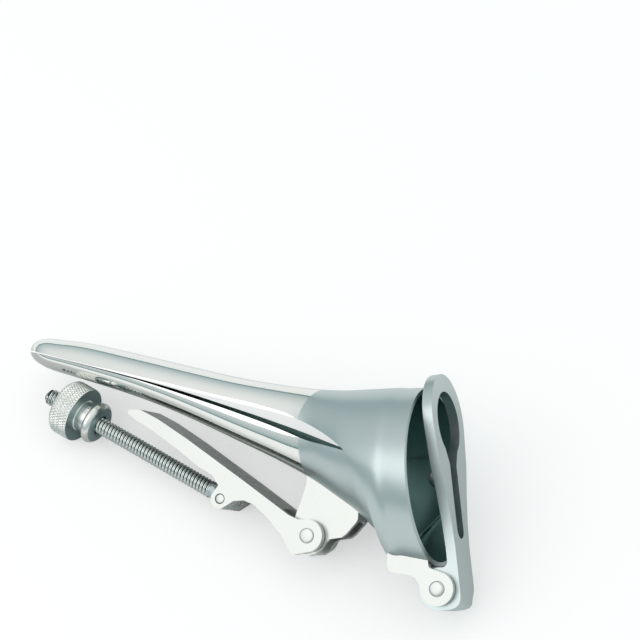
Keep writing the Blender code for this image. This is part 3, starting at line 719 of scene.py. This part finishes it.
def turn_pin(node, body, place, profile, material=pale):
    """Spin (radius, y) points, in millimetres, about the Y axis through a place."""
    bm = bmesh.new()
    chain = [bm.verts.new((radius * MM, y * MM, 0)) for radius, y in profile]
    links = [bm.edges.new(pair) for pair in zip(chain, chain[1:])]
    bmesh.ops.spin(bm, geom=chain + links, cent=(0, 0, 0), axis=(0, 1, 0), angle=2 * pi,
                   steps=PIN_SIDES, use_merge=True)
    bmesh.ops.remove_doubles(bm, verts=bm.verts, dist=MERGE)
    bmesh.ops.translate(bm, vec=(place[0] * MM, 0, place[1] * MM), verts=bm.verts)
    return finish(bm, node + "_turned", body, material, node)


def head(radius, start, rise, end):
    """A low head: flat in the middle and round at the edge."""
    return [(radius * sin(turn), end * (start + rise * cos(turn) ** HEAD_POWER))
            for turn in quarter_turn(14)]


for node, body, place, shank, half, radius, rise in (
        ("leg_rivet", "lower_valve_body", LEG_PIVOT, 1.7, 6.35, 2.15, 0.45),
        ("lever_pin", "collar_body", LEVER_PIVOT, 1.8, 8.25, 2.2, 0.6)):
    turn_pin(node, body, place, head(radius, half, rise, 1) + [(shank, half), (shank, -half)]
             + head(radius, half, rise, -1)[::-1])
rod_pivot = UPRIGHT @ joint_at["rod_swing"]
turn_pin("rod_pin", "leg_body", (rod_pivot.x / MM, rod_pivot.z / MM),
         head(1.35, 6.1, 0.3, 1) + head(1.35, 6.1, 0.3, -1)[::-1])
for node, side in (("side_rivet_left", -1), ("side_rivet_right", 1)):
    ends = [(0.0, 23.0), (1.6, 23.0), (1.6, 20.05)] + head(2.6, 20.05, -0.5, 1)[::-1]
    turn_pin(node, "collar_body", (0.0, HINGE_Z), [(radius, -side * y) for radius, y in ends],
             satin)

# %% [markdown]
# ## Threaded rod
#
# The rod has a coarse 5 mm thread with rounded crests, 1.1 mm from crest to crest. One
# turn's profile is a short chain of vertices, and spin with a step along the axis winds
# it into the thread. The faces near the root are painted dark as shade, and the rod's
# free end is chamfered. The flat eye at its foot is the CAD's own, cut off at the neck.

# %% Wind the thread
ROD_RADIUS = 2.5 * MM
ROD_LENGTH = 67.4 * MM
ROD_NECK = 6.2 * MM
THREAD_PITCH = 1.13 * MM
THREAD_DEPTH = 0.8 * MM
TURN_STEPS = 28
END_CHAMFER, END_TAPER = 1.1 * MM, 0.32
nut_seat = UPRIGHT @ joint_at["nut_spin"]
rod_way = (nut_seat - rod_pivot).normalized()
rod_frame = Matrix.Translation(rod_pivot) @ rod_way.to_track_quat('Z', 'Y').to_matrix().to_4x4()


def wind_thread(start, finish_at):
    """A thread along +Z between two heights, cut flat and closed at both ends."""
    crest, root = ROD_RADIUS, ROD_RADIUS - THREAD_DEPTH
    # one turn's profile: a radius, and how far along the pitch it lies
    shape = [(root, 0.0), (root + 0.3 * THREAD_DEPTH, 0.16), (crest - 0.1 * THREAD_DEPTH, 0.36),
             (crest, 0.5), (crest - 0.1 * THREAD_DEPTH, 0.64), (root + 0.3 * THREAD_DEPTH, 0.84),
             (root, 1.0)]
    bm = bmesh.new()
    chain = [bm.verts.new((radius, 0, start - THREAD_PITCH + share * THREAD_PITCH))
             for radius, share in shape]
    links = [bm.edges.new(pair) for pair in zip(chain, chain[1:])]
    turns = int((finish_at - start) / THREAD_PITCH) + 3
    bmesh.ops.spin(bm, geom=chain + links, cent=(0, 0, 0), axis=(0, 0, 1),
                   dvec=(0, 0, THREAD_PITCH / TURN_STEPS), angle=2 * pi * turns,
                   steps=TURN_STEPS * turns, use_merge=False)
    bmesh.ops.remove_doubles(bm, verts=bm.verts, dist=0.01 * MM)
    for height, side in ((start, -1), (finish_at, 1)):
        cut = bmesh.ops.bisect_plane(bm, geom=bm.verts[:] + bm.edges[:] + bm.faces[:],
                                     plane_co=(0, 0, height), plane_no=(0, 0, side),
                                     clear_outer=True)
        rim = [item for item in cut["geom_cut"] if isinstance(item, bmesh.types.BMEdge)]
        bmesh.ops.contextual_create(bm, geom=rim)
    return bm


thread = wind_thread(ROD_NECK, ROD_LENGTH)
for vert in thread.verts:
    past = vert.co.z - (ROD_LENGTH - END_CHAMFER)
    if past > 0:
        chamfer = 1 - END_TAPER * past / END_CHAMFER
        vert.co.x *= chamfer
        vert.co.y *= chamfer
# painted shade: the faces near the thread's root take the dark second material
for face in thread.faces:
    middle = face.calc_center_median()
    if sqrt(middle.x ** 2 + middle.y ** 2) < ROD_RADIUS - 0.5 * THREAD_DEPTH:
        face.material_index = 1
bmesh.ops.transform(thread, matrix=rod_frame, verts=thread.verts)
print("thread turns:", round((ROD_LENGTH - ROD_NECK) / THREAD_PITCH))
finish(thread, "rod_thread", "rod_body", [thread_steel, root_painted_shade_steel], sharp=60.0)

# %% Eye of the rod
bm = bmesh.new()
bm.from_mesh(frame["nodes"]["screw_rod"].data)
bmesh.ops.remove_doubles(bm, verts=bm.verts, dist=CAD_MERGE)
bmesh.ops.transform(bm, matrix=(LAID @ rod_frame).inverted(), verts=bm.verts)
bmesh.ops.bisect_plane(bm, geom=bm.verts[:] + bm.edges[:] + bm.faces[:],
                       plane_co=(0, 0, ROD_NECK + 0.2 * MM), plane_no=(0, 0, 1), clear_outer=True)
holes = [edge for edge in bm.edges if edge.is_boundary]
bmesh.ops.contextual_create(bm, geom=holes)
bmesh.ops.transform(bm, matrix=rod_frame, verts=bm.verts)
finish(bm, "rod_eye", "rod_body", satin, "screw_rod", sharp=35.0)

# %% [markdown]
# ## Knurled nut
#
# The nut is one turned piece: a bead that bears on the lever, a neck, and a head with
# a diamond knurl for the fingers. The knurl is pressed in by two crossed wheels, so it
# is two families of slanting grooves, about 0.95 mm apart. The profile is spun with many
# steps and each point of the head is pushed in where it lies in a groove. The end faces
# are faced on the lathe, so they are rougher, and their colour is painted darker as a
# painted reflection of the dim room.

# %% Spin the nut
BORE = ROD_RADIUS + 0.3 * MM
BEAD_RADIUS, BEAD_FOOT, BEAD_TOP = 6.3 * MM, 2.1 * MM, 1.1 * MM
BEAD = BEAD_FOOT + BEAD_TOP
BEAD_FLAT = 0.5 * MM
FILLET = 0.3 * MM
NECK_RADIUS, NECK = 4.6 * MM, 3.6 * MM
HEAD_RADIUS, HEAD = 8.46 * MM, 6.6 * MM
CHAMFER, SHOULDER = 0.8 * MM, 0.25 * MM
KNURL_ROWS = 32
GROOVES = 56
GROOVE_SLANT = 0.62
GROOVE_DEPTH = 0.32 * MM
SPIN_STEPS = GROOVES * 8
END_FACING = 0.8
head_foot = BEAD + NECK
head_top = head_foot + HEAD


def nut_profile():
    """(radius, z) points from the bore's foot, round the outside, to the bore's top."""
    points = [(BORE, FILLET)]
    for angle in quarter_turn(12):
        points.append((BORE + BEAD_FLAT + (BEAD_RADIUS - BORE - BEAD_FLAT) * sin(angle),
                       BEAD_FOOT * (1 - cos(angle))))
    for angle in quarter_turn(8)[1:]:
        points.append((BEAD_RADIUS - BEAD_TOP * (1 - cos(angle)),
                       BEAD_FOOT + BEAD_TOP * sin(angle)))
    points += [(NECK_RADIUS + FILLET, BEAD), (NECK_RADIUS, BEAD + FILLET),
               (NECK_RADIUS, head_foot - FILLET), (NECK_RADIUS + FILLET, head_foot),
               (HEAD_RADIUS - SHOULDER, head_foot)]
    for row in range(KNURL_ROWS + 1):
        z = head_foot + SHOULDER + (HEAD - SHOULDER - CHAMFER) * row / KNURL_ROWS
        points.append((HEAD_RADIUS, z))
    points += [(HEAD_RADIUS - CHAMFER, head_top), (BORE, head_top)]
    return points


def knurl(vert):
    """How deep the two crossed grooves are at a point of the head, from 0 to 1."""
    turn = atan2(vert.co.y, vert.co.x) / (2 * pi) * GROOVES
    climb = (vert.co.z - head_foot) / (2 * pi * HEAD_RADIUS) * GROOVES * GROOVE_SLANT
    wave_a = abs(((turn + climb) % 1.0) - 0.5) * 2
    wave_b = abs(((turn - climb) % 1.0) - 0.5) * 2
    return max(wave_a, wave_b) ** 2


bm = bmesh.new()
chain = [bm.verts.new((radius, 0, z)) for radius, z in nut_profile()]
links = [bm.edges.new(pair) for pair in zip(chain, chain[1:] + chain[:1])]
bmesh.ops.spin(bm, geom=chain + links, cent=(0, 0, 0), axis=(0, 0, 1), angle=2 * pi,
               steps=SPIN_STEPS, use_merge=True)
bmesh.ops.remove_doubles(bm, verts=bm.verts, dist=MERGE)
for vert in bm.verts:
    radius = sqrt(vert.co.x ** 2 + vert.co.y ** 2)
    if radius > HEAD_RADIUS - 0.01 * MM:
        pressed = 1 - GROOVE_DEPTH * knurl(vert) / radius
        vert.co.x *= pressed
        vert.co.y *= pressed
bm.normal_update()
# painted reflection: the end faces take the darker second material
for face in bm.faces:
    if abs(face.normal.z) > END_FACING:
        face.material_index = 1
nut_frame = Matrix.Translation(nut_seat) @ rod_frame.to_3x3().to_4x4()
bmesh.ops.transform(bm, matrix=nut_frame, verts=bm.verts)
finish(bm, "knurled_nut", "nut_body", [turned, dim_painted_end_faces], "thumb_nut", sharp=30.0)

# %% [markdown]
# ## Table, light and camera
#
# The photograph is a product shot on white. The floor is white paint, and it is made
# brighter only where the camera or a polished face looks at it, so the steel itself is
# lit no more than the lamp lights it. Polished steel is dark where it mirrors something
# dark, and under the instrument that is its own shadow: there the floor stays plain,
# in a strip along the blades, and grows brighter away from it, beside the instrument
# and before its mouth.

# %% White table
WHITE = (1, 1, 1, 1)
SEEN_GAIN = 0.49
SHADE_LINE = 10 * MM
BESIDE = {"From Min": 15 * MM, "From Max": 55 * MM, "To Min": 0.0, "To Max": 0.4}
BEFORE = {"From Min": 45 * MM, "From Max": 75 * MM, "To Min": 0.0, "To Max": 0.2}

bm = bmesh.new()
bmesh.ops.create_grid(bm, x_segments=1, y_segments=1, size=3.0)
floor = bare_object("floor", bm)
paint = bpy.data.materials.new("white table top")
paint.use_nodes = True
shader = paint.node_tree.nodes["Principled BSDF"]
shader.inputs["Base Color"].default_value = linear("#c4c6c5")
shader.inputs["Roughness"].default_value = 0.9
place = add_node(paint, "ShaderNodeTexCoord")
split = add_node(paint, "ShaderNodeSeparateXYZ", {}, {"Vector": place.outputs["Object"]})
off_line = add_node(paint, "ShaderNodeMath", {"operation": 'SUBTRACT', 1: SHADE_LINE},
                    {0: split.outputs["Y"]})
distance = add_node(paint, "ShaderNodeMath", {"operation": 'ABSOLUTE'}, {0: off_line.outputs[0]})
beside = add_node(paint, "ShaderNodeMapRange", BESIDE, {"Value": distance.outputs[0]})
before = add_node(paint, "ShaderNodeMapRange", BEFORE, {"Value": split.outputs["X"]})
either = add_node(paint, "ShaderNodeMath", {"operation": 'MAXIMUM'},
                  {0: beside.outputs["Result"], 1: before.outputs["Result"]})
seen = add_node(paint, "ShaderNodeLightPath")
# painted light: in the steel's reflections the floor glows, brighter beside the instrument and
# before its mouth
painted_glow_in_mirror = add_node(paint, "ShaderNodeMath", {"operation": 'MULTIPLY'},
                     {0: seen.outputs["Is Glossy Ray"], 1: either.outputs[0]})
gain = add_node(paint, "ShaderNodeMath", {"operation": 'MULTIPLY_ADD', 1: SEEN_GAIN},
                {0: seen.outputs["Is Camera Ray"], 2: painted_glow_in_mirror.outputs[0]})
shader.inputs["Emission Color"].default_value = WHITE
link(paint, gain.outputs[0], shader.inputs["Emission Strength"])
floor.data.materials.append(paint)
print("the floor is", round(2 * floor.data.vertices[-1].co.x, 1), "m wide")

# %% [markdown]
# ### World
#
# The room is a pale grey overhead and a cool grey green near the horizon, and the
# lowest, darkest band is what gives the blades their dark lines. To the camera alone
# the world is white, so that the table's far edge hardly shows.

# %% World
world = bpy.data.worlds.new("studio")
bpy.context.scene.world = world
world.use_nodes = True
sky = world.node_tree.nodes["Background"]
look = add_node(world, "ShaderNodeTexCoord")
parts = add_node(world, "ShaderNodeSeparateXYZ", {}, {"Vector": look.outputs["Generated"]})
ramp = add_node(world, "ShaderNodeValToRGB", {}, {"Fac": parts.outputs["Z"]})
for position, colour in ((0.035, "#7d9a9c"), (0.12, "#aebfc0"), (1.0, "#c3cac9")):
    ramp.color_ramp.elements.new(position).color = linear(colour)
ramp.color_ramp.elements[0].color = linear("#3b5a5b")
ramp.color_ramp.elements.remove(ramp.color_ramp.elements[-1])
rays = add_node(world, "ShaderNodeLightPath")
paper = add_node(world, "ShaderNodeMix", {"data_type": 'RGBA', 7: WHITE},
                 {0: rays.outputs["Is Camera Ray"], 6: ramp.outputs["Color"]})
link(world, paper.outputs[2], sky.inputs["Color"])
sky.inputs["Strength"].default_value = 1.0
print("world ramp has", len(ramp.color_ramp.elements), "colours")

# %% [markdown]
# ## Camera
#
# The view was found by matching twenty points of the instrument: the camera stands
# 564 mm from the origin, 20.2 degrees towards the mouth from square on, 3.1 degrees
# below the blades' plane and rolled by 3 degrees, all in the upright frame. The
# instrument fills only the lower half of the photograph, so the lens is shifted.

# %% Camera
YAW, BELOW, TILT = radians(20.204), radians(3.128), radians(3.008)
DISTANCE = 564 * MM
PIXELS_PER_MM = 3.619
CENTRE_PIXEL = (413.824, 468.230)
FRAME_PIXELS = 640
SENSOR = 36

toward = Vector((sin(YAW) * cos(BELOW), -cos(YAW) * cos(BELOW), -sin(BELOW)))
level = Vector((cos(YAW), sin(YAW), 0))
above = toward.cross(level)
side_way = level * cos(TILT) + above * sin(TILT)
up_way = -level * sin(TILT) + above * cos(TILT)
view = Matrix((side_way, up_way, toward)).transposed().to_4x4()
view.translation = toward * DISTANCE
lens = bpy.data.cameras.new("camera")
lens.sensor_width = SENSOR
lens.lens = PIXELS_PER_MM * DISTANCE / MM / FRAME_PIXELS * SENSOR
lens.shift_x = (FRAME_PIXELS / 2 - CENTRE_PIXEL[0]) / FRAME_PIXELS
lens.shift_y = (CENTRE_PIXEL[1] - FRAME_PIXELS / 2) / FRAME_PIXELS
camera = bpy.data.objects.new("camera", lens)
camera.matrix_world = LAID @ view
bpy.context.scene.collection.objects.link(camera)
bpy.context.scene.camera = camera
bpy.context.scene.view_settings.view_transform = 'Standard'
print("lens", round(lens.lens, 1), "mm, shift", round(lens.shift_x, 3), round(lens.shift_y, 3))

# %% [markdown]
# ### Softbox
#
# The flat near faces look almost white in the photograph. A flat face does that when
# the lamp stands where the face mirrors it to the camera: the camera's direction with
# its X and Z turned round. The lamp is large, so the highlight on the ring is broad,
# and a little warm against the cool room.

# %% One softbox
LAMP_DISTANCE, LAMP_SIZE = 0.75, 0.62
LAMP_WATTS = 1.0

light = bpy.data.lights.new("softbox", 'AREA')
light.shape = 'SQUARE'
light.size = LAMP_SIZE
light.energy = LAMP_WATTS
light.color = (1.0, 0.955, 0.935)
lamp = bpy.data.objects.new("softbox", light)
lamp.location = LAID @ (Vector((-toward.x, toward.y, -toward.z)) * LAMP_DISTANCE)
lamp.rotation_euler = (LAID.translation - lamp.location).to_track_quat('-Z', 'Y').to_euler()
bpy.context.scene.collection.objects.link(lamp)
print("softbox", round((lamp.location - LAID.translation).length, 2), "m from the origin")
